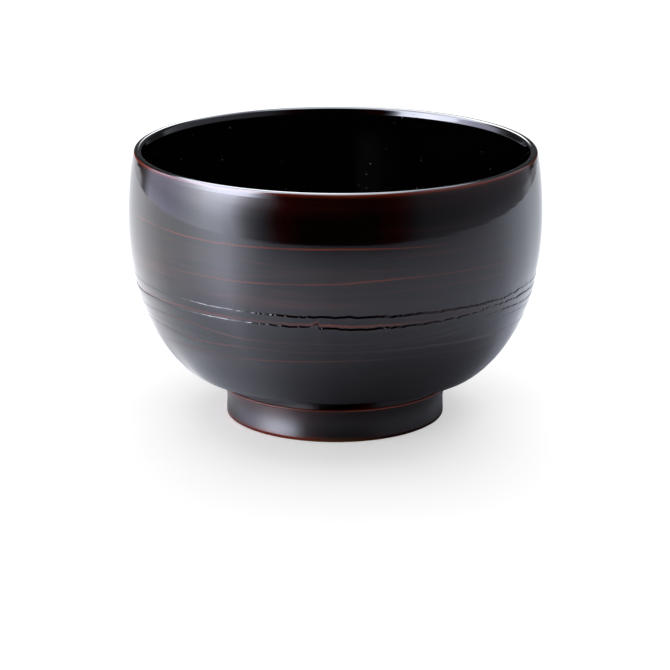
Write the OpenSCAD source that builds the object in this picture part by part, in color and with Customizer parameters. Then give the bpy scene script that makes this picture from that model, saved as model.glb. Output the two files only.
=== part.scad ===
// Lacquer soup bowl: a turned wooden body with a foot ring, under coats of red and black
// lacquer. Its outline is a line of stations [radius, height], turned about the Z axis.

/* [Body] */
// Widest outside diameter
body_d = 112; // [100:1:140]
// Height of the widest place above the table
widest_z = 56; // [46:0.5:62]
// Height of the bowl
bowl_h = 74.1; // [66:0.1:90]
// How far the rim is drawn in from the widest place
rim_in = 1.6; // [0:0.1:4]
// Thickness of the rounded lip
lip_w = 1.9; // [1.4:0.1:3]
// Lean of the rim, in degrees
rim_lean = 12; // [0:0.1:20]
// Wall thickness at the widest place, lacquer included
wall_t = 4.2; // [2.6:0.1:5.5]
// Depth below the rim where the inside stands upright
flare_h = 9; // [5:0.5:16]
// Flare of the inside just below the lip, in degrees
lip_flare = 18; // [4:1:30]
// Radius of the bend between underside and side
hip_bend = 2.5; // [1:0.1:10]
// Slope of the side above that bend, in degrees
hip_slope = 37; // [28:1:45]
// Width of the underside between the neck and the bend
underside_w = 8.6; // [6:0.1:11]
// Slope of the underside, in degrees
underside_slope = 2; // [0:0.5:10]
// Height of the inside floor above the underside's lowest line
floor_t = 2; // [1.6:0.1:5]

/* [Foot] */
// Outside diameter at the base
foot_d = 59.6; // [50:0.1:68]
// Height of the foot's top edge
foot_h = 9.7; // [8:0.1:12]
// How far the top edge stands out over the base
foot_flare = 2; // [0.8:0.1:3]
// How far the side's curve pulls in below the top edge
foot_waist = 1.1; // [0:0.1:2]
// Rounding of the top edge, where the red shows
foot_edge = 0.4; // [0.2:0.05:0.6]
// Height of the neck between the foot's top edge and the underside
neck_h = 3.9; // [3:0.1:6]
// Radius of the cove at the neck's top
neck_cove = 1.2; // [0.6:0.1:2]
// How far the neck is drawn in from the base
neck_in = 0.4; // [0:0.1:1.5]
// Width of the resting ring, lacquer included
rest_w = 3.6; // [2.4:0.1:6]
// Depth of the well inside the foot ring
well_depth = 7.2; // [4:0.1:9]
// Radius of the cove in the well's corner
well_cove = 1.5; // [0.8:0.1:3]

/* [Lacquer] */
// Thickness of the red coat
red_t = 0.2; // [0.1:0.05:0.3]
// Thickness of the black coats
black_t = 0.3; // [0.1:0.05:0.4]
// Height of the red that shows below the lip
rim_red_h = 1.1; // [0.4:0.1:3]
// Height of the red that shows at the foot's base
base_red_h = 0.7; // [0.3:0.1:1.5]
// Height of the bare wood that the bowl rests on, below the coats
rest_lift = 0.3; // [0.1:0.05:0.6]

/* [Stepped lines] */
// Height of the upper line on the body
upper_line_z = 41.2; // [38:0.1:44]
// Distance from the upper line down to the lower line
line_gap = 3; // [2:0.1:5]
// How far the lacquer steps out below each line
line_step = 0.2; // [0.1:0.05:0.6]

/* [Hidden] */

$fn = 120;

// Level angle on the lip where the inside's black ends and the red begins
lip_red_angle = 40;

// Stations along each stretch of the outline
floor_steps = 18;
wall_steps = 5;
lip_in_steps = 7;
lip_out_steps = 2;
top_steps = 6;
side_steps = 18;
hip_steps = 4;
cove_steps = 4;
edge_steps = 3;
foot_steps = 6;

// Handles of the curves, as shares of the distance that each spans
floor_wall_share = 1;
floor_flat_share = 0.7;
top_handle_share = 0.27;
side_high_share = 0.5;
side_low_share = 0.225;
foot_high_share = 0.64;
foot_low_share = 0.35;
foot_low_in_share = 0.23;

coat_t = red_t + black_t;
body_r = body_d / 2;
inside_r = body_r - wall_t;
foot_r = foot_d / 2;
neck_r = foot_r - neck_in;
lip_r = lip_w / 2;
lip_mid = [body_r - rim_in - lip_r, bowl_h - lip_r];
widest = [body_r, widest_z];
neck_top = [neck_r + neck_cove, foot_h + neck_h];
floor_z = neck_top.y + floor_t;
upright_z = bowl_h - flare_h;
lower_line_z = upper_line_z - line_gap;

// Points on a cubic curve from a to d with handles b and c
function bezier(a, b, c, d, steps) = [
  for (i = [0 : steps])
    let (t = i / steps, s = 1 - t)
      s * s * s * a + 3 * s * s * t * b + 3 * s * t * t * c + t * t * t * d
];

// Points on an arc round m, from angle a0 to a1
function arc(m, r, a0, a1, steps) = [
  for (i = [0 : steps])
    let (a = a0 + (a1 - a0) * i / steps) m + r * [cos(a), sin(a)]
];

function unit(v) = v / norm(v);
function last(list) = len(list) - 1;
function rest_of(list) = [for (i = [1 : last(list)]) list[i]];
function backwards(list) = [for (i = [last(list) : -1 : 0]) list[i]];
function stretch(list, i, j) = [for (k = [i : j]) list[k]];

// Direction into the wall at station i of a line that has the wall on its right
function inward(line, i) =
  let (
    before = max(i, 1),
    after = min(i, last(line) - 1) + 1,
    t1 = unit(line[before] - line[before - 1]),
    t2 = unit(line[after] - line[after - 1]),
    n1 = [t1.y, -t1.x],
    n = unit(n1 + [t2.y, -t2.x])
  ) line[i].x == 0 ? [0, -sign(t1.x)] : n / (n * n1);

// The line sunk into the wall by a depth
function sunk(line, depth) = [
  for (i = [0 : last(line)]) line[i] + depth * inward(line, i)
];

// Inside, from the middle of the floor up to the lip
inside_line = concat(
  bezier(
    [0, floor_z],
    [inside_r * floor_flat_share, floor_z],
    [inside_r, upright_z - (upright_z - floor_z) * floor_wall_share],
    [inside_r, upright_z],
    floor_steps
  ),
  let (
    lip_start = lip_mid + lip_r * [-cos(lip_flare), sin(lip_flare)],
    reach = (lip_start.y - upright_z) * top_handle_share
  ) rest_of(bezier(
    [inside_r, upright_z],
    [inside_r, upright_z + reach],
    lip_start - reach * [sin(lip_flare), cos(lip_flare)],
    lip_start,
    wall_steps
  )),
  rest_of(arc(lip_mid, lip_r, 180 - lip_flare, lip_red_angle, lip_in_steps))
);

// Red edge of the rim
rim_red_line = let (
  lip_end = arc(lip_mid, lip_r, lip_red_angle, rim_lean, lip_out_steps)
) concat(
  lip_end,
  [lip_end[lip_out_steps] + rim_red_h * [sin(rim_lean), -cos(rim_lean)]]
);

// Side above the widest place
top_start = rim_red_line[last(rim_red_line)];
top_reach = (top_start.y - widest_z) * top_handle_share;
top_line = bezier(
  top_start,
  top_start + top_reach * [sin(rim_lean), -cos(rim_lean)],
  widest + [0, top_reach],
  widest,
  top_steps
);

// Bend between side and underside, laid out from the neck
hip_start = neck_top + underside_w * [1, tan(underside_slope)];
hip_mid = hip_start + hip_bend * [-sin(underside_slope), cos(underside_slope)];
hip_line = arc(hip_mid, hip_bend, hip_slope - 90, underside_slope - 90, hip_steps);

// Side below the widest place, still smooth
side_span = norm(widest - hip_line[0]);
smooth_side = bezier(
  widest,
  widest - [0, side_span * side_high_share],
  hip_line[0] + side_span * side_low_share * [cos(hip_slope), sin(hip_slope)],
  hip_line[0],
  side_steps
);

// Radius of the smooth side at a height, and how far the steps stand out there
side_table = backwards([for (p = smooth_side) [p.y, p.x]]);
function side_r(z) = lookup(z, side_table);
function step_out(z) =
  z > lower_line_z
    ? line_step * (z - lower_line_z) / line_gap
    : max(0, line_step * (1 - (lower_line_z - z) / (line_gap + line_gap)));
function ledge(z) = [
  [side_r(z), z + line_step / 2],
  [side_r(z) + line_step, z - line_step / 2]
];

// Side with its two stepped lines
side_line = concat(
  [for (p = smooth_side) if (p.y > upper_line_z + line_step) p],
  ledge(upper_line_z),
  [
    for (p = smooth_side)
      if (p.y < upper_line_z - line_step && p.y > lower_line_z + line_step)
        p + [step_out(p.y), 0]
  ],
  ledge(lower_line_z),
  [
    for (p = smooth_side)
      if (p.y < lower_line_z - line_step) p + [step_out(p.y), 0]
  ]
);

// Cove into the neck, and the ledge on top of the foot
neck_line = concat(
  arc(neck_top - [0, neck_cove], neck_cove, 90, 180, cove_steps),
  [[neck_r, foot_h + foot_edge]]
);

// Red top edge of the foot, and the foot's side under it
edge_mid = [foot_r + foot_flare - foot_edge, foot_h - foot_edge];
ledge_lean = atan2(foot_edge, edge_mid.x - neck_r);
foot_handle = [foot_r - foot_waist, foot_h * foot_high_share];
side_lean = atan2(edge_mid.x - foot_handle.x, edge_mid.y - foot_handle.y);
edge_line = arc(edge_mid, foot_edge, 90 - ledge_lean, -side_lean, edge_steps);
base_end = [foot_r, rest_lift + base_red_h];
foot_line = bezier(
  edge_line[edge_steps],
  foot_handle,
  [foot_r - foot_waist * foot_low_in_share, foot_h * foot_low_share],
  base_end,
  foot_steps
);

// The whole outside and inside as one line, and the stations where coats end
outline = concat(
  inside_line,
  rest_of(rim_red_line),
  rest_of(top_line),
  rest_of(side_line),
  rest_of(hip_line),
  neck_line,
  edge_line,
  rest_of(foot_line),
  [[foot_r, rest_lift]]
);
lip_at = last(inside_line);
rim_at = lip_at + last(rim_red_line);
base_at = last(outline) - 1;
foot_at = base_at - foot_steps;
edge_at = foot_at - edge_steps;

under_black = sunk(outline, black_t);
under_coats = sunk(outline, coat_t);

// Well inside the foot ring, from the resting ring up to the middle of its ceiling
well_r = foot_r - rest_w;
well_line = concat(
  [[well_r, rest_lift]],
  arc(
    [well_r - well_cove, well_depth - well_cove], well_cove, 0, 90, cove_steps
  ),
  [[0, well_depth]]
);
under_well = sunk(well_line, black_t);

// A coat between two lines, from station i to station j
module coat(outer, inner, i, j) {
  rotate_extrude()
    polygon(concat(stretch(outer, i, j), backwards(stretch(inner, i, j))));
}

// Turned body and foot, in one piece
module wood_core() {
  color("burlywood")
    rotate_extrude()
      polygon(concat(
        under_coats,
        [[under_coats[last(outline)].x, 0], [under_well[0].x, 0]],
        under_well
      ));
}

// Red coat over the outside, which comes to the surface on the three edges
module red_undercoat() {
  color("firebrick")
    rotate_extrude()
      polygon(concat(
        stretch(outline, lip_at, rim_at),
        stretch(under_black, rim_at, edge_at),
        stretch(outline, edge_at, foot_at),
        stretch(under_black, foot_at, base_at),
        stretch(outline, base_at, last(outline)),
        backwards(stretch(under_coats, lip_at, last(outline)))
      ));
}

// Black coat on the body, with the two stepped lines
module body_black_coat() {
  color("#1c1a1c")
    coat(outline, under_black, rim_at, edge_at);
}

// Black coat on the side of the foot
module foot_black_coat() {
  color("#201a1b")
    coat(outline, under_black, foot_at, base_at);
}

// Black coat on the inside and over the lip
module inner_black_coat() {
  color("#0c0b0c")
    coat(outline, under_coats, 0, lip_at);
}

// Black coat in the well of the foot
module well_black_coat() {
  color("#141213")
    coat(well_line, under_well, 0, last(well_line));
}

wood_core();
red_undercoat();
body_black_coat();
foot_black_coat();
inner_black_coat();
well_black_coat();
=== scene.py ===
import math

import bpy
import numpy as np
from mathutils import Matrix


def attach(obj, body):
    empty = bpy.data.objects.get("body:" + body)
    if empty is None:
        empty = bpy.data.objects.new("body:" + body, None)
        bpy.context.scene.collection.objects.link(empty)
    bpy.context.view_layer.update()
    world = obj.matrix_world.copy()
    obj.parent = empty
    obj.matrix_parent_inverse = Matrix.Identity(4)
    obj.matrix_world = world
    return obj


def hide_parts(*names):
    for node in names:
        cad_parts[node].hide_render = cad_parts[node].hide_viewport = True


# Lacquer soup bowl: dense coats over its solids, and the room that its gloss mirrors.
# Profiles are in mm. Materials and the room are in metres, and their angles in degrees.
MM = 0.001
DEGREES_IN_RADIAN = 57.29578

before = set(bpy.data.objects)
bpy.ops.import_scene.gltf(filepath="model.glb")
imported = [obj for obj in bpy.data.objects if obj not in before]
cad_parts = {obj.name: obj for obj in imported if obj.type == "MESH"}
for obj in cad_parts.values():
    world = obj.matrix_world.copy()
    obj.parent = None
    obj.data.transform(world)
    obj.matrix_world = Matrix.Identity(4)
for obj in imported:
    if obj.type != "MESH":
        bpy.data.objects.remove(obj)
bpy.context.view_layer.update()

# ------------------------------------------------------------------ camera
SENSOR_WIDTH = 36.0
LENS = 152.25
SHIFT_X = -0.0003
CAMERA_AT = (0.0, -0.746635, 0.2412043)
CAMERA_TILT = 73.5835
# The photo's camera was rolled a little to its left
CAMERA_ROLL = 0.18

camera_data = bpy.data.cameras.new("camera")
camera_data.sensor_width = SENSOR_WIDTH
camera_data.lens = LENS
camera_data.shift_x = SHIFT_X
camera = bpy.data.objects.new("camera", camera_data)
camera.location = CAMERA_AT
tilt = Matrix.Rotation(math.radians(CAMERA_TILT), 3, "X")
roll = Matrix.Rotation(math.radians(CAMERA_ROLL), 3, "Z")
camera.rotation_euler = (tilt @ roll).to_euler()
bpy.context.scene.collection.objects.link(camera)
bpy.context.scene.camera = camera
bpy.context.scene.view_settings.view_transform = "Standard"


# ------------------------------------------------------------------ lines of radius and height
def bezier(a, b, c, d, n):
    t = np.linspace(0, 1, n)[:, None]
    a, b, c, d = (np.array(p, float) for p in (a, b, c, d))
    s = 1 - t
    return s**3 * a + 3 * s * s * t * b + 3 * s * t * t * c + t**3 * d


def arc(mid, r, start, end, n):
    a = np.radians(np.linspace(start, end, n))
    return np.array(mid, float) + r * np.stack([np.cos(a), np.sin(a)], 1)


def line(a, b, n):
    a, b = np.array(a, float), np.array(b, float)
    return a + np.linspace(0, 1, n)[:, None] * (b - a)


def chain(*parts):
    """One line through the parts, with points that two parts share kept once."""
    out = [parts[0]]
    for p in parts[1:]:
        out.append(p[1:] if np.allclose(p[0], out[-1][-1]) else p)
    return np.concatenate(out)


def sunk(points, depth):
    """The same line, moved to its right by depth."""
    p = np.array(points, float)
    t = np.gradient(p, axis=0)
    t /= np.hypot(t[:, 0], t[:, 1])[:, None]
    return p + depth * np.stack([t[:, 1], -t[:, 0]], 1)


def polar(mid, r, angle):
    a = math.radians(angle)
    return np.array([mid[0] + r * math.cos(a), mid[1] + r * math.sin(a)])


# The lip is rounder outside than inside, where it meets a short bevel
LIP_MID, LIP_R = np.array([53.45, 73.149]), 0.95
LIP_START, LIP_END = 162, 40
LIP_STRETCH = 1.3
KNEE = np.array([51.86, 72.2])
INSIDE_R, INSIDE_FLOOR, INSIDE_TOP = 51.8, 15.6, 65.1
INSIDE_REACH = 36.26
lip_inside = arc(LIP_MID, LIP_R, LIP_START, LIP_END, n=24)
inner_half = lip_inside[:, 0] < LIP_MID[0]
lip_inside[inner_half, 0] = LIP_MID[0] + (lip_inside[inner_half, 0] - LIP_MID[0]) * LIP_STRETCH
inside = chain(
    bezier((0, INSIDE_FLOOR), (INSIDE_REACH, INSIDE_FLOOR), (INSIDE_R, INSIDE_FLOOR),
           (INSIDE_R, INSIDE_TOP), n=64),
    line((INSIDE_R, INSIDE_TOP), KNEE, n=6),
    bezier(KNEE, KNEE + (0.02, 0.28), lip_inside[0] - (0.13, 0.42), lip_inside[0], n=10),
    lip_inside,
)

# Below the lip the rim leans out, and its red edge is this wide
RIM_LEAN = 12
RIM_RED_WIDTH = 1.1
rim_way = np.array([math.sin(math.radians(RIM_LEAN)), -math.cos(math.radians(RIM_LEAN))])
lip_end = polar(LIP_MID, LIP_R, RIM_LEAN)
rim_end = lip_end + RIM_RED_WIDTH * rim_way
rim_red = chain(arc(LIP_MID, LIP_R, LIP_END, RIM_LEAN, n=7), line(lip_end, rim_end, n=7))

# The side is widest at WIDEST, and ends below in a small round hip. The reaches say how far
# it keeps its way at the ends of each of its two curves.
WIDEST = np.array([56.0, 56.0])
TOP_REACH = (rim_end[1] - WIDEST[1]) * 0.27
BELLY_REACH, HIP_REACH = 22.1755, 9.979
HIP_MID, HIP_R = (39.1128, 16.3988), 2.5
HIP_START, HIP_END = -53, -88
hip_top = polar(HIP_MID, HIP_R, HIP_START)
smooth_side = chain(
    bezier(rim_end, rim_end + TOP_REACH * rim_way, WIDEST + (0, TOP_REACH), WIDEST, n=200),
    bezier(WIDEST, WIDEST - (0, BELLY_REACH), polar(hip_top, HIP_REACH, HIP_START + 90),
           hip_top, n=400),
)
BOTTOM_OUTSIDE, BOTTOM_INSIDE = (39.2, 13.9003), (30.6, 13.6)
NECK_MID, NECK_R = (30.6, 12.4), 1.2
NECK_TOP, NECK_FOOT = (29.4, 12.4), (29.8, 9.8)
under = chain(
    arc(HIP_MID, HIP_R, HIP_START, HIP_END, n=6),
    line(BOTTOM_OUTSIDE, BOTTOM_INSIDE, n=3),
    arc(NECK_MID, NECK_R, 90, 180, n=5),
    line(NECK_TOP, NECK_FOOT, n=3),
)

# The foot: its red top edge, its slightly waisted black side, its red base edge and its well
EDGE_MID, EDGE_R = (31.4, 9.3), 0.4
EDGE_START, EDGE_END = 78.69, -41.13
FOOT_R = 29.8
BASE_TOP, COATS_END = 1.0, 0.3
WELL_R, WELL_TOP, WELL_COVE = 26.2, 7.2, 1.5
edge = arc(EDGE_MID, EDGE_R, EDGE_START, EDGE_END, n=10)
ledge = line(NECK_FOOT, edge[0], n=3)
foot = bezier(edge[-1], (28.9, 6.4), (29.9, 3.4), (FOOT_R, BASE_TOP), n=26)
base = line((FOOT_R, BASE_TOP), (FOOT_R, COATS_END), n=4)
well = chain(
    line((WELL_R, COATS_END), (WELL_R, WELL_TOP - WELL_COVE), n=6),
    arc((WELL_R - WELL_COVE, WELL_TOP - WELL_COVE), WELL_COVE, 0, 90, n=9),
    line((WELL_R - WELL_COVE, WELL_TOP), (0, WELL_TOP), n=12),
)


def side_radius(z):
    return np.interp(z, smooth_side[::-1, 1], smooth_side[::-1, 0])


# ------------------------------------------------------------------ the stepped lines
# Each goes round the body as pairs of level angle (0 in front, + to the right) and height.
UPPER = [
    (-100, 41.2), (-81, 41.3), (-70, 41.75), (-54.5, 41.85), (-48, 42.15), (-35, 42.05),
    (-23.4, 42.0), (-15.7, 41.95), (-11, 41.85), (-8.8, 41.82), (-6.6, 42.02), (-5, 42.0),
    (-2.2, 41.85), (1.3, 41.75), (2.9, 42.15), (3.9, 42.0), (5.9, 41.8), (11, 41.9),
    (17.4, 41.75), (26, 41.7), (34.4, 41.5), (41, 41.2), (51.7, 41.25), (61.5, 41.4),
    (68.5, 41.5), (80, 40.9), (96, 40.6), (118, 41.3), (139, 41.7), (141, 42.1), (163, 41.5),
    (180, 41.9), (-160, 41.4), (-141, 41.9), (-139.5, 41.4), (-120, 41.0),
]
LOWER = [
    (-100, 37.9), (-80, 38.2), (-72.7, 38.5), (-67.5, 38.85), (-60, 39.1), (-53.8, 39.0),
    (-35.3, 39.1), (-23.3, 39.2), (-16.7, 39.0), (-10.1, 39.05), (-7.6, 39.2), (-5.9, 39.7),
    (-4.7, 40.3), (-4.4, 38.95), (-0.5, 39.05), (4, 38.75), (7.8, 38.55), (17.6, 38.9),
    (34.8, 39.0), (41.5, 39.3), (48, 39.7), (52.5, 39.45), (54, 39.85), (59.4, 39.8),
    (67.3, 39.6), (76, 39.1), (88, 38.5), (110, 38.3), (132, 38.9), (134, 38.4), (160, 38.8),
    (180, 38.5), (-158, 38.9), (-137, 38.3), (-118, 38.0),
]
THIRD = [
    (-100, 34.4), (-76, 34.4), (-60, 35.5), (-46, 35.9), (-37, 35.0), (-27, 34.2), (0, 34.2),
    (20, 35.0), (34, 36.2), (41, 37.1), (50, 37.7), (56, 37.8), (66, 37.0), (76, 36.4),
    (92, 36.0), (120, 35.2), (150, 34.6), (180, 34.9), (-150, 35.4), (-120, 34.9),
]
FOURTH = [
    (-100, 32.3), (-76, 32.4), (-60, 33.4), (-46, 33.4), (-30, 32.8), (0, 32.9), (20, 33.6),
    (38, 34.8), (48, 35.6), (63, 35.3), (80, 34.0), (100, 33.4), (140, 32.7), (180, 32.9),
    (-140, 33.1), (-120, 32.7),
]
FIFTH = [
    (-100, 30.3), (-80, 30.7), (-66, 31.5), (-56, 31.4), (-44, 30.7), (-34, 31.2), (-26, 31.5),
    (-10, 31.6), (8, 31.9), (28, 32.0), (52, 31.1), (60, 31.3), (68, 30.8), (77, 29.8),
    (92, 29.9), (120, 30.6), (150, 31.0), (180, 30.7), (-150, 30.4), (-120, 30.2),
]
SIXTH = [
    (-100, 26.2), (-80, 25.9), (-69, 26.2), (-55, 27.5), (-45, 28.2), (-28, 28.0), (-16, 28.5),
    (-5, 29.0), (5, 29.3), (28, 29.5), (53, 28.1), (80, 27.2), (120, 27.6), (160, 28.2),
    (180, 28.1), (-130, 26.9),
]
# How far each steps out, in mm, round the body
STEP_UPPER = [
    (-90, 0.16), (-70, 0.08), (-50, 0.1), (-30, 0.13), (-22, 0.2), (-12, 0.36), (5, 0.42),
    (30, 0.44), (48, 0.28), (60, 0.18), (90, 0.2), (180, 0.22), (-120, 0.18),
]
STEP_LOWER = [
    (-90, 0.26), (-70, 0.18), (-55, 0.13), (-30, 0.14), (-22, 0.22), (-14, 0.34), (-9, 0.38),
    (-6, 0.18), (-4, 0.42), (15, 0.46), (30, 0.34), (55, 0.2), (70, 0.26), (90, 0.26),
    (180, 0.24), (-120, 0.24),
]
STEP_THIRD = [
    (-90, 0.14), (-60, 0.1), (-25, 0.05), (25, 0.03), (45, 0.16), (60, 0.26), (90, 0.26),
    (130, 0.08), (180, 0.1), (-120, 0.12),
]
STEP_FOURTH = [
    (-90, 0.05), (-40, 0.03), (20, 0.03), (40, 0.12), (60, 0.16), (80, 0.16), (120, 0.05),
    (180, 0.05),
]
STEP_FIFTH = [
    (-90, 0.12), (-60, 0.1), (-20, 0.05), (35, 0.08), (60, 0.2), (90, 0.22), (130, 0.06),
    (180, 0.1),
]
STEP_SIXTH = [(-90, 0.08), (-50, 0.06), (0, 0.04), (60, 0.05), (90, 0.08), (180, 0.06)]
STEPPED_LINES = (
    # heights, steps, raggedness, width of the step, and how fast it fades away from the line
    (UPPER, STEP_UPPER, 0.9, 0.76, 2.6),
    (LOWER, STEP_LOWER, 1.0, 0.84, 2.6),
    (THIRD, STEP_THIRD, 0.6, 0.36, 1.8),
    (FOURTH, STEP_FOURTH, 0.5, 0.4, 1.6),
    (FIFTH, STEP_FIFTH, 0.5, 0.4, 2.0),
    (SIXTH, STEP_SIXTH, 0.4, 0.5, 2.4),
)
# The two main lines are fine on the left and wide and ragged in front
MAIN_LINES = 2
WIDTH_ROUND = [
    (-90, 0.46), (-34, 0.48), (-18, 0.95), (0, 1.0), (36, 1.0), (56, 0.7), (90, 0.6), (180, 0.8),
]
RAGGED_ROUND = [
    (-90, 0.45), (-28, 0.5), (-14, 1.5), (30, 1.8), (58, 2.2), (84, 1.6), (180, 1.0),
]
LEAST_GAP = 0.85
# Spacing in degrees and size of what makes the lines uneven, in height and in step
WANDER = ((0.6, 0.055), (2.0, 0.065), (9, 0.04))
SHAKE = ((0.7, 0.2), (4, 0.14))
SHAKE_LEAST, SHAKE_MOST = -0.6, 0.35
SHAKE_FADE = 0.35

rng = np.random.default_rng(11)


def round_line(points, phi):
    a = np.array(sorted(points), float)
    return np.interp(phi, a[:, 0], a[:, 1], period=360)


def jagged(phi, spacing, size):
    """Broken line of random heights, with its knots about spacing degrees apart."""
    n = int(360 / spacing)
    knots = np.sort(rng.uniform(-180, 180, n))
    return np.interp(phi, knots, rng.normal(0, size, n), period=360)


# Level angles of the columns: closer together in front
FRONT_HALF = 93
FRONT_COLUMNS, BACK_COLUMNS = 800, 330
phi = np.concatenate([
    np.linspace(-FRONT_HALF, FRONT_HALF, FRONT_COLUMNS, endpoint=False),
    np.linspace(FRONT_HALF, 360 - FRONT_HALF, BACK_COLUMNS, endpoint=False),
])
phi = np.where(phi > 180, phi - 360, phi)
width_round = round_line(WIDTH_ROUND, phi)
ragged_round = round_line(RAGGED_ROUND, phi)

lines, steps, rough_steps, widths, fades = [], [], [], [], []
for i, (heights, out, rough, width, fade) in enumerate(STEPPED_LINES):
    is_main = i < MAIN_LINES
    ragged = rough * (ragged_round if is_main else 1.0)
    z = round_line(heights, phi)
    z = z + ragged * sum(jagged(phi, spacing, size) for spacing, size in WANDER)
    if lines:
        z = np.minimum(z, lines[-1] - LEAST_GAP)
    lines.append(z)
    step = round_line(out, phi)
    steps.append(step)
    shake = ragged * sum(jagged(phi, spacing, size) for spacing, size in SHAKE)
    rough_steps.append(step * np.clip(shake, SHAKE_LEAST, SHAKE_MOST))
    widths.append(width * (width_round if is_main else np.ones_like(phi)))
    fades.append(fade)


def stepped_out(z):
    """How far the lacquer stands out from the smooth side at each height and column."""
    out = np.zeros_like(z)
    for z0, step, rough, w, fade in zip(lines, steps, rough_steps, widths, fades):
        u = z0 - z
        t = np.clip(u / w + 0.5, 0, 1)
        s = t * t * (3 - 2 * t) - 0.5
        out += step * s * np.exp(-np.abs(u) / fade)
        out += rough * s * np.exp(-np.abs(u) / SHAKE_FADE)
    return out


def between(za, zb, n):
    """n rows between two lines, neither included."""
    return [za + (zb - za) * (i + 1) / (n + 1) for i in range(n)]


# Rows of the body's skin from the rim down: close together at the lines, and wider elsewhere
MAIN_OFFSETS = (0.42, 0.28, 0.14, 0.0, -0.14, -0.28, -0.42)
FINE_OFFSETS = (0.26, 0.09, -0.09, -0.26)
ROWS_TO_UPPER, ROWS_TO_LOWER = 15, 2
ROWS_TO_FINE = (2, 1, 1, 2)
ROWS_TO_LOW, ROWS_TO_HIP = 5, 3
LOW_Z = 17.2
top_z = np.full_like(phi, rim_end[1])
low_z = np.full_like(phi, LOW_Z)
hip_z = np.full_like(phi, hip_top[1])
offsets = [o * width_round for o in MAIN_OFFSETS]
rows = [top_z]
for main, n in zip(lines[:MAIN_LINES], (ROWS_TO_UPPER, ROWS_TO_LOWER)):
    rows += between(rows[-1], main + offsets[0], n)
    rows += [main + o for o in offsets]
for fine, n in zip(lines[MAIN_LINES:], ROWS_TO_FINE):
    rows += between(rows[-1], fine + FINE_OFFSETS[0], n)
    rows += [fine + o for o in FINE_OFFSETS]
rows += between(rows[-1], low_z, ROWS_TO_LOW)
rows += between(low_z, hip_z, ROWS_TO_HIP)
side_z = np.array(rows)
side_r = side_radius(side_z) + stepped_out(side_z)


def same_round(points, n):
    """The radii and heights of a line, repeated in n columns."""
    return np.repeat(points[:, :1], n, 1), np.repeat(points[:, 1:], n, 1)


under_r, under_z = same_round(chain(under, ledge), len(phi))
skin_r = np.concatenate([side_r, under_r])
skin_z = np.concatenate([side_z, under_z])


# ------------------------------------------------------------------ meshes
SHARP_ANGLE = 50


def outward(obj):
    """Turns the faces of a closed piece outwards, and keeps its corners sharp."""
    m = obj.data
    m.calc_loop_triangles()
    tri = np.zeros(len(m.loop_triangles) * 3, np.int32)
    m.loop_triangles.foreach_get("vertices", tri)
    co = np.zeros(len(m.vertices) * 3)
    m.vertices.foreach_get("co", co)
    p = co.reshape(-1, 3)[tri.reshape(-1, 3)]
    if np.einsum("ij,ij->", p[:, 0], np.cross(p[:, 1], p[:, 2])) < 0:
        m.flip_normals()
    m.set_sharp_from_angle(angle=math.radians(SHARP_ANGLE))
    m.update()
    return obj


def build(name, r, z, angles, ring=False):
    """A surface turned about Z from rows of radius and height. A row of radius 0 is one point."""
    a = np.radians(angles)
    n_rows, n = r.shape[0], len(angles)
    verts, first = [], []
    for i in range(n_rows):
        first.append(len(verts))
        if np.all(r[i] == 0):
            verts.append((0.0, 0.0, float(z[i][0])))
        else:
            verts += list(zip(r[i] * np.sin(a), -r[i] * np.cos(a), z[i] * np.ones(n)))
    first.append(len(verts))
    faces = []
    pairs = [(i, i + 1) for i in range(n_rows - 1)] + ([(n_rows - 1, 0)] if ring else [])
    for i, j in pairs:
        a0, b0 = first[i], first[j]
        point_a, point_b = first[i + 1] - a0 == 1, first[j + 1] - b0 == 1
        for k in range(n):
            m = (k + 1) % n
            if point_a:
                faces.append((a0, b0 + m, b0 + k))
            elif point_b:
                faces.append((a0 + k, a0 + m, b0))
            else:
                faces.append((a0 + k, a0 + m, b0 + m, b0 + k))
    mesh = bpy.data.meshes.new(name)
    mesh.from_pydata([tuple(c * MM for c in v) for v in verts], [], faces)
    mesh.polygons.foreach_set("use_smooth", np.ones(len(mesh.polygons), bool))
    mesh.update()
    obj = bpy.data.objects.new(name, mesh)
    bpy.context.scene.collection.objects.link(obj)
    return outward(obj)


def picked(points, n, start=0, end=None):
    """Indices of n points of a line, evenly spread from start to end."""
    end = len(points) - 1 if end is None else end
    return np.linspace(start, end, n).round().astype(int)


def thinned(points, *picks):
    """The picked points of a line, in reverse order."""
    return points[np.unique(np.concatenate(picks))[::-1]]


EVEN_COLUMNS = 512
EVEN = np.linspace(-180, 180, EVEN_COLUMNS, endpoint=False)


def shell(name, front, depth, back_steps):
    """A closed coat: the front line, and the same line sunk by its depth."""
    back = sunk(front, depth)
    both = np.concatenate([front, thinned(back, picked(back, back_steps))])
    return build(name, *same_round(both, EVEN_COLUMNS), EVEN, ring=True)


def coat_inside(name, front, depth, back_steps=14):
    """A closed coat whose lines start on the axis."""
    back = sunk(front, depth)
    both = np.concatenate([front, thinned(back, picked(back, back_steps))])
    both[[0, -1], 0] = 0.0
    return build(name, *same_round(both, EVEN_COLUMNS), EVEN)


# Black coat of the body: the detailed skin, closed by a plain inner side
BODY_DEPTH = 0.3
back_line = sunk(chain(smooth_side, under, ledge), BODY_DEPTH)
n_side = len(smooth_side)
body_back = thinned(
    back_line, picked(back_line, 4, end=n_side), picked(back_line, 3, start=n_side))
back_r, back_z = same_round(body_back, len(phi))
body_r = np.concatenate([skin_r, back_r])
body_z = np.concatenate([skin_z, back_z])
body_coat = build("body_coat", body_r, body_z, phi, ring=True)

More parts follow.
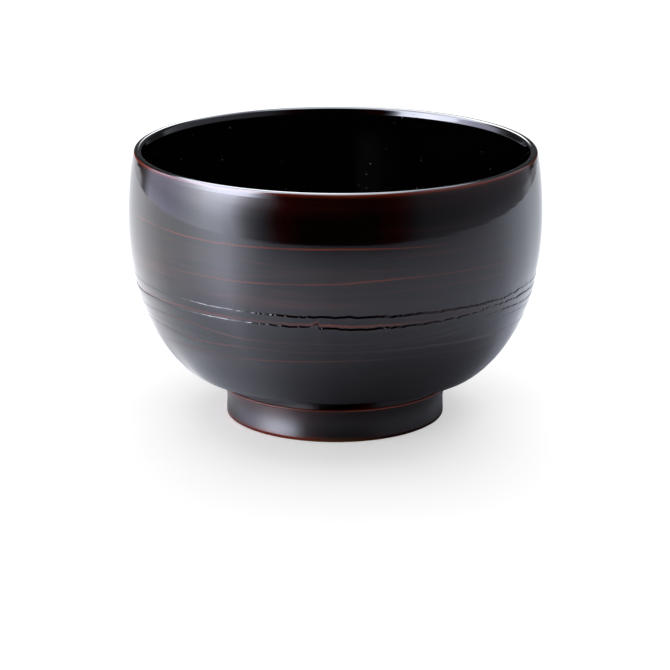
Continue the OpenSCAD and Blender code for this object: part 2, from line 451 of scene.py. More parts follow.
inner_coat = coat_inside("inner_coat", inside, depth=0.5)
well_coat = coat_inside("well_coat", well[::-1], depth=-0.3)
rim_edge = shell("rim_edge", rim_red, depth=0.5, back_steps=6)
foot_edge = shell("foot_edge", edge, depth=0.38, back_steps=5)
foot_coat = shell("foot_coat", foot, depth=0.3, back_steps=9)
base_edge = shell("base_edge", base, depth=0.5, back_steps=2)

# ------------------------------------------------------------------ lines of red
# Each is two lists of pairs: level angle and height, and level angle and strength. Those
# named ON follow a stepped line, and have a strength only.
RED_AT_59 = (
    [(-90, 59.4), (-73, 59.6), (-61, 60.0), (-45, 59.6), (-32, 59.5), (-17, 59.8), (1, 60.15),
     (12, 60.0), (24, 59.7), (38, 59.6), (59, 60.5), (90, 60.2), (180, 59.6)],
    [(-100, 0.2), (-85, 0.6), (-70, 0.9), (-10, 1.0), (8, 0.7), (20, 0.3), (34, 0.06), (60, 0.06),
     (90, 0.3), (150, 0.6), (180, 0.4), (-140, 0.15)],
)
RED_AT_50 = (
    [(-90, 49.2), (-38, 50.05), (-26, 50.1), (-9, 50.7), (1, 51.0), (8, 51.5), (17, 51.9),
     (26, 51.95), (34, 51.9), (60, 51.2), (90, 50.4), (180, 50.0)],
    [(-90, 0.15), (-60, 0.2), (-45, 0.5), (-30, 0.9), (0, 0.8), (14, 0.6), (28, 0.34), (60, 0.1),
     (100, 0.5), (140, 0.2), (180, 0.6), (-120, 0.3)],
)
RED_AT_47 = (
    [(-95, 46.2), (-76, 46.6), (-63, 47.6), (-51, 47.6), (-20, 47.2), (24, 48.8), (36, 48.85),
     (53, 48.0), (90, 47.4), (180, 46.8)],
    [(-95, 0.5), (-76, 0.8), (-55, 0.6), (-48, 0.15), (0, 0.1), (20, 0.1), (36, 0.16),
     (53, 0.14), (70, 0.05), (120, 0.4), (180, 0.15), (-130, 0.5)],
)
RED_AT_52 = (
    [(-90, 52.0), (-45, 51.7), (-37, 51.75), (-16, 52.2), (0, 54.6), (12, 54.3), (40, 53.9),
     (90, 54.5), (180, 53.0)],
    [(-80, 0.1), (-45, 0.35), (-22, 0.25), (-16, 0.0), (2, 0.0), (12, 0.12), (30, 0.05),
     (90, 0.2), (150, 0.5), (180, 0.3), (-120, 0.3)],
)
RED_AT_57 = (
    [(-90, 57.8), (-36, 57.3), (-20, 55.6), (-6, 54.8), (0, 57.2), (17, 57.3), (46, 57.5),
     (60, 57.6), (90, 57.0), (180, 57.0)],
    [(-80, 0.1), (-40, 0.2), (-22, 0.25), (-12, 0.06), (-8, 0.0), (4, 0.0), (12, 0.1),
     (30, 0.06), (60, 0.05), (120, 0.3), (180, 0.2), (-120, 0.2)],
)
RED_ON_CREST = [
    (-100, 0.4), (-80, 0.8), (-65, 1.0), (-40, 0.9), (-15, 0.7), (-4, 0.9), (10, 0.6), (20, 0.35),
    (40, 0.1), (70, 0.05), (90, 0.2), (140, 0.7), (180, 0.5), (-130, 0.6),
]
RED_ON_THIRD = [
    (-100, 0.1), (-80, 0.1), (-62, 0.3), (-45, 0.75), (-30, 0.6), (-22, 0.25), (-10, 0.1),
    (30, 0.0), (90, 0.1), (140, 0.5), (180, 0.2),
]
RED_ON_FIFTH = [
    (-100, 0.1), (-70, 0.3), (-44, 0.7), (-28, 0.6), (-18, 0.2), (0, 0.05), (90, 0.1), (140, 0.2),
    (180, 0.5),
]
RED_ON_SIXTH = [
    (-100, 0.2), (-70, 0.5), (-50, 0.6), (-35, 0.4), (-25, 0.5), (-6, 0.5), (5, 0.15), (30, 0.05),
    (90, 0.1), (180, 0.4),
]
# The crest between the two main lines stands a little higher where they are further apart
CREST_RISE, CREST_SHARE = 0.42, 0.4
WIDE_GAP = 2.2
crest = lines[1] + CREST_RISE + CREST_SHARE * np.clip(lines[0] - lines[1] - WIDE_GAP, 0, 1)
red_lines = [
    (round_line(heights, phi), strength)
    for heights, strength in (RED_AT_59, RED_AT_50, RED_AT_47, RED_AT_52, RED_AT_57)
] + [
    (crest, RED_ON_CREST),
    (lines[2] - 0.1, RED_ON_THIRD),
    (lines[4] + 0.1, RED_ON_FIFTH),
    (lines[5] + 0.05, RED_ON_SIXTH),
]
CREST_LINE = 5
# A vector of the mesh keeps three of them
PER_VECTOR = 3
MARK_GROUPS = len(red_lines) // PER_VECTOR


def per_column(name, columns):
    """Keeps three values of each column on the body's mesh, the same in all its rows."""
    full = np.tile(np.stack(columns, 1), (len(body_r), 1)).astype(np.float32)
    kept = body_coat.data.attributes.new(name, "FLOAT_VECTOR", "POINT")
    kept.data.foreach_set("vector", full.ravel())


for i in range(MARK_GROUPS):
    three = red_lines[PER_VECTOR * i : PER_VECTOR * (i + 1)]
    per_column(f"mark_z{i}", [heights * MM for heights, _ in three])
    per_column(f"mark_a{i}", [round_line(strength, phi) for _, strength in three])


# ------------------------------------------------------------------ node helpers
class Nodes:
    """Writes a node tree, a call for each step of a formula."""

    def __init__(self, tree):
        self.tree = tree
        tree.nodes.clear()

    def node(self, kind, inputs=None, **props):
        n = self.tree.nodes.new(kind)
        for k, v in props.items():
            setattr(n, k, v)
        for k, v in (inputs or {}).items():
            self.put(n.inputs[k], v)
        return n

    def put(self, socket, v):
        if isinstance(v, bpy.types.NodeSocket):
            self.tree.links.new(v, socket)
        else:
            socket.default_value = v

    def math(self, op, *values):
        n = self.node("ShaderNodeMath", operation=op)
        for socket, v in zip(n.inputs, values):
            self.put(socket, v)
        return n.outputs[0]

    def folded(self, op, values):
        total = values[0]
        for v in values[1:]:
            total = self.math(op, total, v)
        return total

    def plus(self, *values):
        return self.folded("ADD", values)

    def times(self, *values):
        return self.folded("MULTIPLY", values)

    def most(self, *values):
        return self.folded("MAXIMUM", values)

    def minus(self, a, b):
        return self.math("SUBTRACT", a, b)

    def away(self, a, b):
        """How far a is from b."""
        return self.math("ABSOLUTE", self.minus(a, b))

    def span(self, v, a, b, c=0.0, d=1.0, kind="SMOOTHSTEP"):
        """v taken from a..b to c..d."""
        n = self.node("ShaderNodeMapRange", interpolation_type=kind)
        for k, x in zip(("Value", "From Min", "From Max", "To Min", "To Max"), (v, a, b, c, d)):
            self.put(n.inputs[k], x)
        return n.outputs["Result"]

    def even(self, v, a, b, c=0.0, d=1.0):
        """The same, in a straight line."""
        return self.span(v, a, b, c, d, kind="LINEAR")

    def mix(self, fac, a, b):
        n = self.node("ShaderNodeMix", data_type="RGBA")
        for i, v in ((0, fac), (6, a), (7, b)):
            self.put(n.inputs[i], v)
        return n.outputs[2]

    def curve(self, v, points):
        """A broken line through points, whose x and y may be any numbers."""
        xs, ys = [p[0] for p in points], [p[1] for p in points]
        x0, x1, y1 = min(xs), max(xs), max(*ys, 1e-6)
        n = self.node("ShaderNodeFloatCurve")
        c = n.mapping.curves[0]
        while len(c.points) < len(points):
            c.points.new(0.5, 0.5)
        for p, x, y in zip(c.points, xs, ys):
            p.location = ((x - x0) / (x1 - x0), y / y1)
            p.handle_type = "VECTOR"
        n.mapping.update()
        self.put(n.inputs["Value"], self.even(v, x0, x1))
        return self.times(n.outputs[0], y1)

    def scaled(self, vector, x, y, z):
        return self.node("ShaderNodeVectorMath", {0: vector, 1: (x, y, z)},
                         operation="MULTIPLY").outputs[0]

    def noise(self, vector, scale=1.0, detail=2.0, rough=0.5, distort=0.0):
        return self.node("ShaderNodeTexNoise", {
            "Vector": vector, "Scale": scale, "Detail": detail, "Roughness": rough,
            "Distortion": distort}).outputs["Fac"]

    def object_place(self):
        return self.node("ShaderNodeTexCoord").outputs["Object"]

    def attribute(self, name):
        return self.node("ShaderNodeAttribute", attribute_name=name).outputs["Vector"]

    def split(self, vector):
        return self.node("ShaderNodeSeparateXYZ", {0: vector}).outputs

    def rgb(self, red, green, blue):
        return self.node("ShaderNodeCombineColor", {0: red, 1: green, 2: blue}).outputs[0]

    def bumped(self, height, distance):
        return self.node("ShaderNodeBump", {
            "Height": height, "Distance": distance, "Strength": 1.0}).outputs[0]

    def finish(self, shader, kind="Material"):
        out = self.node("ShaderNodeOutput" + kind)
        self.tree.links.new(shader, out.inputs[0])

    def surface(self, **inputs):
        """The surface shader, with its inputs named with _ for each space."""
        shader = self.node("ShaderNodeBsdfPrincipled",
                           {k.replace("_", " "): v for k, v in inputs.items()})
        self.finish(shader.outputs[0])


def material(name):
    m = bpy.data.materials.new(name)
    m.use_nodes = True
    return m, Nodes(m.node_tree)


def place(t):
    """Object position, its height, and the position with its height wandering gently."""
    p = t.object_place()
    s = t.split(p)
    wander = t.noise(t.scaled(p, 14, 14, 30), detail=1.0)
    z = t.plus(s[2], t.times(t.minus(wander, 0.5), 0.0042))
    return p, s[2], t.node("ShaderNodeCombineXYZ", {0: s[0], 1: s[1], 2: z}).outputs[0]


def level_angle(t, x, y):
    """Angle about Z in degrees: 0 in front, + to the right."""
    return t.times(t.math("ARCTAN2", x, t.times(y, -1.0)), DEGREES_IN_RADIAN)


def brushed(t, wavy):
    """Fine level brush lines: a mask for colour and a height for the bump."""
    broad = t.noise(t.scaled(wavy, 16, 16, 620), detail=3.0, rough=0.55)
    fine = t.noise(t.scaled(wavy, 30, 30, 2600), detail=3.0, rough=0.6)
    patch = t.noise(t.scaled(wavy, 22, 22, 90), detail=2.0)
    streaks = t.times(t.span(broad, 0.55, 0.74), 0.55)
    hairs = t.times(t.span(fine, 0.56, 0.78), 0.35)
    mask = t.times(t.plus(streaks, hairs), t.span(patch, 0.35, 0.65, 0.25, 1.0))
    return mask, t.plus(broad, t.times(fine, 0.3))


# ------------------------------------------------------------------ materials
BLACK = (0.0016, 0.0005, 0.00055, 1)
BROWN = (0.03, 0.0058, 0.0038, 1)
RED = (0.21, 0.018, 0.004, 1)
LINE_RED = (0.19, 0.026, 0.008, 1)
WINDOW_GLOW_BROWN = (0.07, 0.02, 0.015, 1)
INSIDE_BLACK = (0.0009, 0.0007, 0.0008, 1)
INSIDE_STREAK = (0.006, 0.0025, 0.0022, 1)
SPECK = (0.16, 0.15, 0.14, 1)
FOOT_BLACK = (0.004, 0.0012, 0.001, 1)
FOOT_BROWN = (0.05, 0.012, 0.008, 1)
EDGE_DARK_RED = (0.12, 0.011, 0.0032, 1)
EDGE_RED = (0.16, 0.026, 0.0075, 1)
EDGE_SHADE = (0.02, 0.003, 0.0015, 1)
EDGE_LIT_RED = (0.42, 0.045, 0.02, 1)
# Painted light and shade of the base edge, from lit on the left to shaded on the right
BASE_LIT = (0.19, 0.016, 0.007, 1)
BASE_SHADED = (0.012, 0.0015, 0.001, 1)
BASE_LIT_TO_SHADED = (
    (0.3, (0.2, 0.02, 0.007, 1)), (0.45, (0.07, 0.02, 0.003, 1)),
    (0.6, (0.04, 0.01, 0.0015, 1)), (0.72, (0.008, 0.001, 0.0006, 1)),
)
WOOD_DARK = (0.23, 0.115, 0.05, 1)
WOOD_LIGHT = (0.42, 0.25, 0.12, 1)
WOOD_PORE = (0.1, 0.045, 0.02, 1)
LACQUER = {"Specular_IOR_Level": 0.5, "IOR": 1.5}


def red_mask(t, z, broken):
    """The red lines that are kept on the body's mesh."""
    core, line_width, crest_width = 0.00006, 0.00034, 0.00055
    masks = []
    for i in range(MARK_GROUPS):
        at, strength = (t.split(t.attribute(f"mark_{kind}{i}")) for kind in "za")
        for k in range(PER_VECTOR):
            width = crest_width if PER_VECTOR * i + k == CREST_LINE else line_width
            mask = t.times(t.span(t.away(z, at[k]), core, width, 1.0, 0.0), strength[k])
            masks.append(t.times(mask, t.span(broken, 0.3, 0.55, 0.35, 1.0)))
    return t.most(*masks)


def body_lacquer():
    """Black coat of the body, with thin red lines, and browner on its left, where the window
    lights it: painted light.
    """
    mat, t = material("black_lacquer_body")
    p, z, wavy = place(t)
    x, y = t.split(p)[:2]
    mask, height = brushed(t, wavy)
    broken = t.noise(t.scaled(p, 55, 55, 260), detail=3.0, rough=0.6)
    red = red_mask(t, z, broken)
    # Painted light: left weights the colour towards the side of the body that the window lights
    left = t.curve(level_angle(t, x, y), [
        (-180, 0.3), (-95, 0.3), (-75, 0.8), (-55, 1.0), (-30, 0.9), (-8, 0.4), (15, 0.06),
        (180, 0.08)])
    # Painted light on the left, which the window lights: a browner band above the upper line, and
    # a glow over it
    band_z = 0.0449
    band = t.times(t.span(t.away(z, band_z), 0.0003, 0.0016, 1.0, 0.0),
                   t.span(broken, 0.4, 0.65), left)
    window_glow = t.times(t.span(z, 0.0425, 0.0455), t.span(z, 0.0585, 0.052), left,
                   t.span(t.noise(t.scaled(wavy, 20, 20, 240), detail=3.0, rough=0.6), 0.38, 0.66))
    # Red wear under the rim, made stronger on the left by painted light, and wear at the foot
    rim_wear_and_light = t.times(t.span(z, 0.0670, 0.0726), t.span(broken, 0.3, 0.6, 0.4, 1.0),
                   t.plus(0.3, left))
    worn_low = t.span(z, 0.01035, 0.0099)
    # Brown brush lines all round, with more of them painted on the left as the window's light
    brown = t.most(t.times(mask, t.plus(0.6, t.times(left, 0.7))), t.times(band, 0.9))
    c = t.mix(brown, BLACK, BROWN)
    c = t.mix(t.times(red, 0.72), c, LINE_RED)
    c = t.mix(t.times(window_glow, 0.8), c, WINDOW_GLOW_BROWN)
    c = t.mix(t.times(rim_wear_and_light, 0.07), c, RED)
    c = t.mix(t.times(worn_low, 0.03), c, RED)
    gloss = t.plus(0.042, t.plus(t.times(mask, 0.07), t.times(red, 0.12)))
    # The corner between body and foot is duller on the left
    corner = t.times(t.span(z, 0.0139, 0.0134, 0.0, 0.75), t.span(x, 0.004, -0.016))
    t.surface(Base_Color=c, Roughness=t.most(gloss, corner), Normal=t.bumped(height, 0.0000035),
              **LACQUER)
    return mat


def inside_lacquer():
    """Black coat inside, with a few pale specks on its right."""
    mat, t = material("black_lacquer_inside")
    p, _, wavy = place(t)
    mask, height = brushed(t, wavy)
    cells = t.node("ShaderNodeTexVoronoi", {"Vector": p, "Scale": 900.0, "Randomness": 1.0},
                   feature="F1")
    chance = t.plus(t.node("ShaderNodeSeparateColor", {0: cells.outputs["Color"]}).outputs[0],
                    t.span(t.split(p)[0], 0.004, 0.016, -0.022, 0.0))
    speck = t.times(t.span(cells.outputs["Distance"], 0.08, 0.26, 1.0, 0.0),
                    t.span(chance, 0.955, 0.965))
    c = t.mix(t.times(mask, 0.5, 0.12), INSIDE_BLACK, INSIDE_STREAK)
    c = t.mix(t.times(speck, 0.6), c, SPECK)
    t.surface(Base_Color=c, Roughness=t.plus(0.07, t.times(speck, 0.3)),
              Normal=t.bumped(height, 0.0000015), **LACQUER)
    return mat


def foot_lacquer():
    """Black coats of the foot and its well: less polished, with turning marks going round."""
    mat, t = material("black_lacquer_foot")
    p, z, wavy = place(t)
    mask, height = brushed(t, wavy)
    broken = t.noise(t.scaled(p, 70, 70, 300), detail=3.0)
    worn_top = t.times(
        t.curve(z, [(0.0, 0.0), (0.003, 0.02), (0.006, 0.2), (0.0085, 0.7), (0.0095, 1.0)]),
        t.span(broken, 0.35, 0.6, 0.6, 1.0))
    worn_low = t.times(t.span(z, 0.0024, 0.0010), t.span(broken, 0.35, 0.6, 0.4, 1.0))
    # Painted light: left is the side that the window lights, where brush lines and wear are made
    # browner and redder
    left = t.span(t.split(p)[0], 0.006, -0.012, 0.15, 1.0)
    clouds = t.noise(t.scaled(p, 45, 45, 160), detail=2.0)
    c = t.mix(t.span(clouds, 0.35, 0.65, 0.1, 0.7), BLACK, FOOT_BLACK)
    c = t.mix(t.times(mask, left, 0.5), c, FOOT_BROWN)
    c = t.mix(t.times(worn_top, left, 0.24), c, RED)
    c = t.mix(t.times(worn_low, left, 0.3), c, RED)
    around = t.node("ShaderNodeTangent", direction_type="RADIAL", axis="Z")
    t.surface(Base_Color=c, Roughness=0.37, Anisotropic=0.97, Anisotropic_Rotation=0.25,
              Tangent=around.outputs[0], Normal=t.bumped(height, 0.000004),
              Specular_IOR_Level=1.0, IOR=1.5)
    return mat


def red_lacquer():
    """Red coat on the three edges: the rim's, and the foot's top and base."""
    mat, t = material("red_lacquer_edges")
    p, z, wavy = place(t)
    x = t.split(p)[0]
    height = brushed(t, wavy)[1]
    tone = t.noise(t.scaled(p, 60, 60, 900), detail=3.0)
    dark = t.noise(t.scaled(p, 120, 120, 1500), detail=3.0, rough=0.6)
    c = t.mix(t.span(tone, 0.35, 0.7), EDGE_DARK_RED, EDGE_RED)
    c = t.mix(t.times(t.span(dark, 0.45, 0.7), 0.35), c, EDGE_SHADE)
    # Painted light: the rim's red is brighter at its far left, where the window lights it. It
    # fades into the black below it
    far_left_lit = t.times(t.span(x, -0.03, -0.05), t.span(z, 0.0595, 0.0605))
    c = t.mix(t.times(far_left_lit, 0.8), c, EDGE_LIT_RED)
    red_share = t.curve(z, [
        (0.0, 1.0), (0.060, 1.0), (0.0722, 0.015), (0.0726, 0.02), (0.0729, 0.07), (0.0732, 0.25),
        (0.07345, 0.52), (0.0737, 1.0), (0.080, 1.0)])
    c = t.mix(red_share, BLACK, c)
    # The foot's top edge is red in a thin line only
    top_edge = t.times(t.span(z, 0.0080, 0.0084), t.span(z, 0.0120, 0.0110))
    edge_line_z = 0.00945
    off_line = t.span(t.away(z, edge_line_z), 0.00008, 0.00028, 0.0, 0.85)
    c = t.mix(t.times(top_edge, off_line), c, BLACK)
    # Painted light and shade: the base edge goes from red on the left, where the window lights it,
    # to nearly black in the shade on the right
    base_half = 0.032
    base_light_and_shade = t.node("ShaderNodeValToRGB", {0: t.even(x, -base_half, base_half)})
    ramp = base_light_and_shade.color_ramp
    ramp.elements[0].position, ramp.elements[0].color = 0.0, BASE_LIT
    ramp.elements[1].position, ramp.elements[1].color = 1.0, BASE_SHADED
    for position, colour in BASE_LIT_TO_SHADED:
        ramp.elements.new(position).color = colour
    c = t.mix(t.even(z, 0.0022, 0.0018), c, base_light_and_shade.outputs[0])
    rough = t.plus(t.span(dark, 0.3, 0.7, 0.05, 0.11), t.times(top_edge, 0.3))
    t.surface(Base_Color=c, Roughness=rough, Normal=t.bumped(height, 0.000005), **LACQUER)
    return mat


def turned_wood():
    """Bare turned wood of the resting ring."""
    mat, t = material("turned_wood")
    p = t.object_place()
    grain = t.noise(t.scaled(p, 140, 900, 140), detail=4.0, rough=0.6, distort=0.4)
    pore = t.noise(t.scaled(p, 500, 3600, 500), detail=2.0)
    c = t.mix(t.span(grain, 0.3, 0.7), WOOD_DARK, WOOD_LIGHT)
    c = t.mix(t.times(t.span(pore, 0.58, 0.7), 0.6), c, WOOD_PORE)
    height = t.plus(grain, t.times(pore, -0.5))
    t.surface(Base_Color=c, Roughness=t.span(grain, 0.3, 0.7, 0.5, 0.65),
              Normal=t.bumped(height, 0.00003))
    return mat


mat_body, mat_inner, mat_foot, mat_red = (
    body_lacquer(), inside_lacquer(), foot_lacquer(), red_lacquer())
for obj, mat, node, slot in (
    (body_coat, mat_body, "body_black_coat", "black_lacquer"),
    (inner_coat, mat_inner, "inner_black_coat", "inner_black_lacquer"),
    (well_coat, mat_foot, "well_black_coat", "well_black_lacquer"),
    (foot_coat, mat_foot, "foot_black_coat", "black_lacquer"),
    (rim_edge, mat_red, "red_undercoat", "red_lacquer"),
    (foot_edge, mat_red, None, "red_lacquer"),
    (base_edge, mat_red, None, "red_lacquer"),
):
    obj.data.materials.append(mat)
    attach(obj, "root")
    if node:
        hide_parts(node)
mat_wood = turned_wood()
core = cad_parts["wood_core"]
if not core.material_slots:
    core.data.materials.append(mat_wood)
for slot in core.material_slots:
    slot.material = mat_wood

# ------------------------------------------------------------------ floor
# Curves of the floor and the dome are pairs of an angle or a distance, and a level
FLOOR_R = 0.455
FLOOR_STEP = 4
FLOOR_FRONT = 100
FLOOR_BEHIND = [(0.9, 0.2, 0.0), (1.6, 3.0, 0.0), (-1.6, 3.0, 0.0), (-0.9, 0.2, 0.0)]


def plain_mesh(name, verts, faces):
    """A piece of the stage, with a material that isn't sampled as a lamp."""
    mesh = bpy.data.meshes.new(name)
    mesh.from_pydata(verts, [], faces)
    mesh.update()
    obj = bpy.data.objects.new(name, mesh)
    bpy.context.scene.collection.objects.link(obj)
    mat, t = material(name)
    mat.cycles.emission_sampling = "NONE"
    mesh.materials.append(mat)
    return obj, t


def room(t, az, share):
    """Red and blue of the light of the room against its green: cool in front, neutral behind."""
    red = t.curve(az, [
        (-180, 0.97), (-130, 0.985), (-112, 1.0), (-98, 0.985), (-84, 0.965), (95, 0.955),
        (115, 0.945), (180, 0.965)])
    blue = t.curve(az, [
        (-180, 1.05), (-130, 1.06), (-114, 1.07), (-98, 1.08), (-82, 1.13), (-60, 1.19),
        (98, 1.19), (118, 1.13), (140, 1.09), (180, 1.05)])
    return [t.plus(1.0, t.times(share, t.minus(v, 1.0))) for v in (red, blue)]


floor_verts = [
    (FLOOR_R * math.sin(math.radians(a)), -FLOOR_R * math.cos(math.radians(a)), 0.0)
    for a in range(-FLOOR_FRONT, FLOOR_FRONT + 1, FLOOR_STEP)
] + FLOOR_BEHIND
t = plain_mesh("floor", floor_verts, [tuple(range(len(floor_verts)))])[1]
p = t.object_place()
x, y = t.split(p)[:2]
far = t.math("SQRT", t.plus(t.times(x, x), t.times(y, y)))
az = level_angle(t, x, y)
az_side = level_angle(t, t.plus(x, 0.03), t.plus(y, 0.045))
path = t.node("ShaderNodeLightPath").outputs
seen = path["Is Camera Ray"]
gloss = t.most(path["Is Glossy Ray"], path["Is Transmission Ray"])

# Painted shade: the floor darkens towards its front edge, but not on the left, where the window is
dim = t.times(t.even(far, 0.1, 0.42, 0.0, 0.68), t.curve(az, [
    (-180, 0), (-70, 0), (-50, 0.35), (-30, 0.8), (-12, 1), (25, 1), (40, 0.8), (60, 0.6),
    (80, 0.45), (100, 0.2), (120, 0), (180, 0)]))
kept = t.minus(1.0, dim)
# What the gloss mirrors of the floor: a glow all round, and a streak towards the window
shade = t.minus(1.0, t.times(
    t.curve(az, [(-180, 1), (-120, 0.8), (-95, 0), (90, 0), (110, 1), (180, 1)]),
    t.span(far, 0.1, 0.055)))
near_glow = t.times(shade, t.curve(az, [
    (-180, 0.3), (-150, 0.6), (-125, 1.2), (-105, 1.3), (-90, 1.1), (-60, 1.1), (-45, 1.05),
    (-35, 0.9), (-28, 0.65), (-17, 0.33), (0, 0.06), (20, 0), (70, 0), (90, 0.08), (105, 0.38),
    (125, 0.42), (140, 0.15), (180, 0.15)]))
far_glow = t.times(t.span(far, 0.06, 0.12), t.curve(az, [
    (-180, 0.1), (-60, 0.1), (-35, 0.35), (-17, 0.45), (0, 0.38), (30, 0.36), (60, 0.4),
    (80, 0.46), (100, 0.46), (180, 0.3)]))
streak = t.times(
    t.curve(far, [
        (0, 0), (0.06, 0), (0.09, 0.55), (0.12, 1.5), (0.145, 2.3), (0.18, 2.8), (0.23, 3.1),
        (0.3, 3.15), (0.46, 3.4), (3.0, 3.4)]),
    t.curve(az_side, [
        (-180, 0), (-112, 0), (-100, 0.14), (-91, 0.28), (-83, 0.5), (-76, 0.72), (-69, 0.93),
        (-63, 1), (-59, 0.92), (-55, 0.7), (-50, 0.45), (-45, 0.27), (-41, 0.14), (-35, 0.02),
        (-30, 0), (180, 0)]))
# Painted shade: what the gloss sees of the floor darkens towards the foot, where the bowl shades
# it
deep_end = t.curve(az, [
    (-180, 0.05), (-110, 0.042), (-90, 0.054), (-60, 0.062), (-30, 0.062), (0, 0.064),
    (30, 0.078), (60, 0.083), (80, 0.08), (95, 0.072), (110, 0.064), (180, 0.06)])
painted_bowl_shade = t.even(far, 0.03, deep_end, 0.2, 1.0)
mirrored = t.times(t.plus(t.times(t.plus(near_glow, far_glow), kept), streak), painted_bowl_shade)
# The shadow reaches further in front than at the sides
uneven = t.times(
    t.minus(t.curve(az, [
        (-180, 0.15), (-120, 0.17), (-75, 0.17), (-45, 0.1), (-25, 0.05), (0, 0.032), (25, 0.04),
        (40, 0.08), (60, 0.15), (78, 0.2), (120, 0.18), (180, 0.15)]), 0.1),
    t.times(t.span(far, 0.03, 0.045), t.span(far, 0.14, 0.08)))
SEEN_LIFT, SEEN_DIM, SEEN_TONE = 0.39, 0.6, 0.16
lift = t.plus(t.times(seen, t.plus(SEEN_LIFT, uneven, t.times(dim, SEEN_DIM))),
              t.times(gloss, mirrored))
grit = t.even(t.noise(p, scale=900.0), 0.0, 1.0, 0.59, 0.61)
# The same painted shade, on the floor's own colour as the gloss sees it
under_bowl = t.plus(1.0, t.times(gloss, t.minus(painted_bowl_shade, 1.0)))
tone = t.plus(t.times(grit, kept, under_bowl), t.times(seen, SEEN_TONE))
red, blue = room(t, az, gloss)
paint = t.node("ShaderNodeBsdfDiffuse", {
    "Color": t.rgb(t.times(tone, red), tone, t.times(tone, blue)), "Roughness": 0.0})
glow = t.node("ShaderNodeEmission", {"Color": t.rgb(red, 1.0, blue), "Strength": lift})
t.finish(t.node("ShaderNodeAddShader", {0: paint.outputs[0], 1: glow.outputs[0]}).outputs[0])

# ------------------------------------------------------------------ dome and world
# The dome stands for the room that the gloss shows: a bright window on the left, a dark room
# in front, grey on the right and white behind. Only reflections see it.
DOME_MID = 0.05
DOME_STEP = 4
DOME_LOW = -6.25
els = [DOME_LOW] + list(range(-4, 90, DOME_STEP))
dome_verts = []
for a in np.radians(np.arange(-180, 180, DOME_STEP)):
    for e in np.radians(els):
        dome_verts.append((
            FLOOR_R * math.sin(a) * math.cos(e),
            -FLOOR_R * math.cos(a) * math.cos(e),
            DOME_MID + FLOOR_R * math.sin(e),
        ))
m = len(els)
n = len(dome_verts) // m
dome_faces = [
    (i * m + j, (i + 1) % n * m + j, (i + 1) % n * m + j + 1, i * m + j + 1)
    for i in range(n) for j in range(m - 1)
]
dome_faces.append(tuple(i * m + m - 1 for i in range(n)))
dome, t = plain_mesh("dome", dome_verts, dome_faces)
dome.visible_camera = dome.visible_diffuse = dome.visible_shadow = False
x, y, z = t.split(t.object_place())
az = level_angle(t, x, y)
rise = t.math("DIVIDE", t.minus(z, DOME_MID), FLOOR_R)
el = t.times(t.math("ARCSINE", rise), DEGREES_IN_RADIAN)

# The window, whose right end leans and is softer higher up
window_az = t.curve(az, [
    (-180, 0.0), (-125, 0.0), (-118, 0.02), (-112, 0.06), (-100, 0.12), (-91, 0.24),
    (-83, 0.45), (-77, 0.68), (-71, 0.92), (-65, 1.0), (180, 1.0)])
window_el = t.curve(el, [
    (-8, 3.4), (-5, 4.1), (-3, 5.1), (-1, 6.8), (1, 8.2), (3, 9.0), (5, 11.3), (7, 15.2),
    (9, 19.2), (12, 21.0), (27, 20.0), (38, 15.5), (48, 3.0), (56, 0.6), (90, 0.0)])
# A curve has no values under 0, so this one is written 100 higher
RAISED = 100.0
window_end = t.minus(t.curve(el, [
    (-8, 52), (-5, 51.5), (-1, 47.6), (3, 48.5), (7, 51), (9, 55), (12, 59), (17, 60),
    (25, 58), (40, 54), (90, 50)]), RAISED)
crisp = t.curve(el, [(-8, 1.0), (7, 1.0), (16, 2.5), (90, 2.5)])
window_side = t.curve(t.times(t.minus(az, window_end), crisp), [
    (-400, 1), (-12, 1), (-5, 0.87), (-2.5, 0.68), (0, 0.5), (2.5, 0.35), (5, 0.24), (8, 0.155),
    (11, 0.1), (14, 0.06), (17, 0.03), (20, 0.01), (23, 0), (700, 0)])
window = t.times(window_az, window_el, window_side)
# A large soft box overhead, from the window round to the back
over_low = t.curve(az, [
    (-180, 24), (-176, 20), (-172, 24), (-165, 34), (-160, 39), (-145, 43), (-120, 41),
    (-100, 36), (-90, 26), (-80, 17), (-60, 12), (-40, 12), (30, 62), (60, 58), (87, 52),
    (140, 49), (160, 45), (170, 40), (176, 34), (180, 24)])
over_level = t.curve(az, [
    (-180, 11), (-165, 11), (-140, 11), (-108, 10), (-92, 12), (-80, 16), (-60, 18), (-40, 17),
    (0, 0), (30, 0), (42, 0.8), (60, 1.6), (87, 2), (140, 4.5), (170, 7), (176, 9), (180, 11)])
over_edge = t.curve(az, [(-180, 8), (-165, 6), (-145, 4), (145, 4), (170, 6), (180, 8)])
over = t.times(
    over_level,
    t.span(t.math("DIVIDE", t.minus(el, over_low), over_edge), -1.0, 1.0),
    t.curve(el, [(-8, 1), (58, 1), (75, 0.4), (90, 0.1)]),
    t.most(window_side, t.span(az, 20.0, 30.0)))
zenith = t.span(el, 60.0, 76.0, 0.0, 11.0)
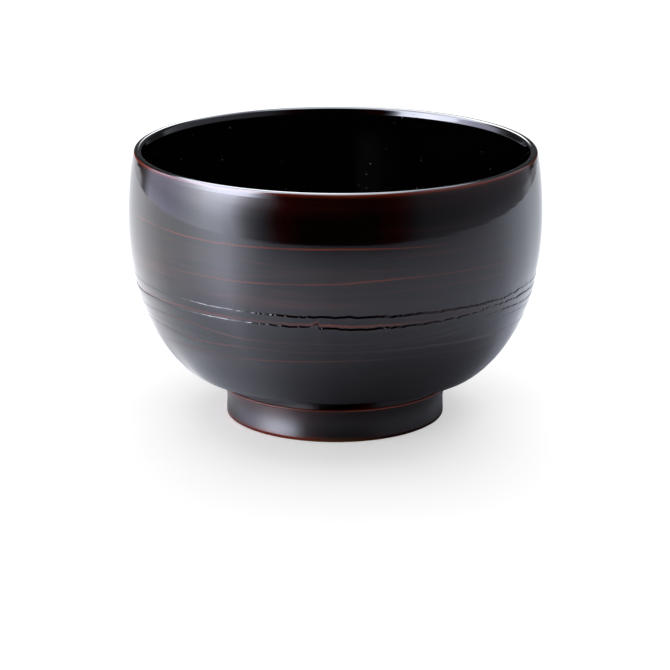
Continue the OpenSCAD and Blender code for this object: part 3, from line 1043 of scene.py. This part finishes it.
# The wall all round, and the edge of the white table behind
wall_az = t.curve(az, [
    (-180, 0.08), (-145, 0.05), (-137, 0.06), (-133, 0.12), (-129, 0.26), (-125, 0.42),
    (-121, 1.0), (-118, 1.4), (-100, 1.4), (-75, 1.4), (-62, 1.3), (-54, 0.6), (-46, 0.1),
    (-38, 0), (30, 0), (34, 0.025), (38, 0.06), (42, 0.115), (47, 0.175), (55, 0.21),
    (65, 0.24), (75, 0.27), (85, 0.3), (95, 0.31), (105, 0.3), (113, 0.32), (119, 0.35),
    (124, 0.42), (128, 0.48), (131, 0.4), (134, 0.1), (137, 0.05), (145, 0.05), (180, 0.08)])
wall_el = t.curve(el, [
    (-8, 1.75), (-5, 1.25), (-2, 0.9), (2, 0.92), (6, 1.08), (9, 1.3), (12, 1.5), (25, 2.0),
    (50, 2.1), (70, 0.8), (90, 0.0)])
table_az = t.curve(az, [
    (-180, 1.0), (-133, 1.1), (-128, 0), (118, 0), (124, 0.25), (133, 0.45), (180, 0.8)])
table = t.times(table_az, t.span(el, -4.6, -3.4, 1.0, 0.0))
light = t.plus(t.most(window, over, zenith), t.plus(t.times(wall_az, wall_el), table))
# A faint dark red stands between the black of the room and what is lit
fringe = t.times(
    t.curve(az, [
        (-180, 0), (-40, 0.0), (-32, 0.1), (-26, 0.09), (-16, 0.0), (20, 0.0), (27, 0.05),
        (34, 0.06), (42, 0), (180, 0)]),
    t.span(el, 60.0, 30.0))
# The room's far left is bluer
cool = t.times(t.span(el, -8.0, -5.5), t.curve(az, [
    (-180, 0), (-132, 0), (-122, 0.2), (-100, 0.26), (-90, 0.14), (-78, 0.0), (180, 0)]))
red, blue = room(t, az, 1.0)
glow = t.node("ShaderNodeEmission", {
    "Color": t.rgb(t.plus(t.times(light, red), fringe), light,
                   t.times(light, t.plus(blue, cool))),
    "Strength": 1.0})
t.finish(glow.outputs[0])

world = bpy.data.worlds.new("world")
bpy.context.scene.world = world
world.use_nodes = True
t = Nodes(world.node_tree)
back = t.node("ShaderNodeBackground", {"Color": (1, 1, 1, 1), "Strength": 1.0})
t.finish(back.outputs[0], "World")
